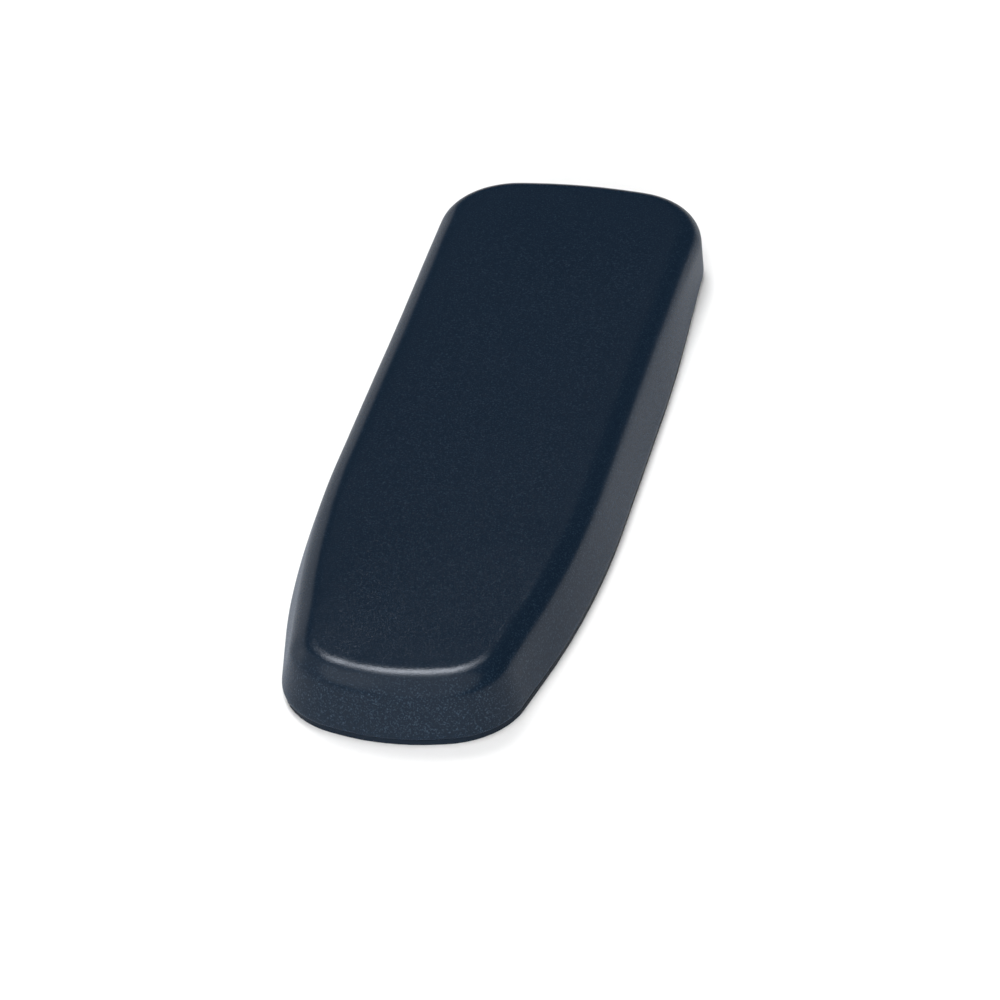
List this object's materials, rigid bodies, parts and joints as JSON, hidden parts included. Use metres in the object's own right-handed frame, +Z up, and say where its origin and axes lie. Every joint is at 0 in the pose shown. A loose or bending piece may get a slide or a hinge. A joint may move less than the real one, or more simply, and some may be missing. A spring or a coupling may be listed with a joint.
{
  "type": "chair armrest pad",
  "caption": "Padded armrest top for an office chair: faux-leather cover over foam and a plywood board, with threaded nuts underneath for bolting to the arm.",
  "frame": {"origin": "middle of the pad's underside, on the bottom panel's flat face", "axes": "+Z up through the pad to the flat top that the forearm rests on; +Y along the pad to the wide rear end, -Y to the narrow front end; +X to the right seen from the front end"},
  "size_m": [0.09, 0.27, 0.02],
  "materials": {
    "faux_leather": "satin",
    "foam": "matte",
    "plywood": "matte",
    "zinc_steel": "satin",
    "staple_steel": "satin",
    "black_plastic": "matte",
    "screw_steel": "satin"
  },
  "bodies": {
    "root": {"cover": "faux_leather", "foam_cushion": "foam", "base_board": "plywood", "t_nuts": "zinc_steel", "staples": "staple_steel", "bottom_panel": "black_plastic", "panel_screws": "screw_steel"}
  },
  "joints": []
}
